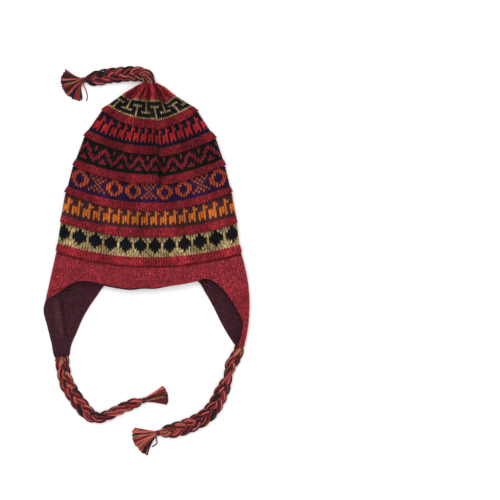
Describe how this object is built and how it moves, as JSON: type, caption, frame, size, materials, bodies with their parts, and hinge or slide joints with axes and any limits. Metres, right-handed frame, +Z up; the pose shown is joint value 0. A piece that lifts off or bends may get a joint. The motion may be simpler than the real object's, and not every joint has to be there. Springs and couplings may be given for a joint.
{
  "type": "knitted ear-flap hat",
  "caption": "Knitted ear-flap hat with patterned bands, rolled welts, a dark lining and braided ties that end in tassels, lying flat on its back.",
  "frame": {"origin": "on the surface that the hat lies on, under the middle of the hat's own outline, braids and tassels left out", "axes": "+Z up off the surface, +Y towards the crown, +X to the right as the hat is seen from above"},
  "size_m": [0.2739, 0.5199, 0.0334],
  "materials": {
    "outer_knit": "matte heather knit",
    "lining_knit": "matte knit",
    "braid_yarn": "matte wool yarn",
    "tassel_yarn": "matte wool yarn",
    "binding_yarn": "matte wool yarn"
  },
  "bodies": {
    "root": {"outer_shell": "outer_knit", "lining": "lining_knit", "top_braid": "braid_yarn", "left_tie": "braid_yarn", "right_tie": "braid_yarn", "top_tassel": "tassel_yarn", "left_tassel": "tassel_yarn", "right_tassel": "tassel_yarn", "top_binding": "binding_yarn", "left_binding": "binding_yarn", "right_binding": "binding_yarn"}
  },
  "joints": []
}
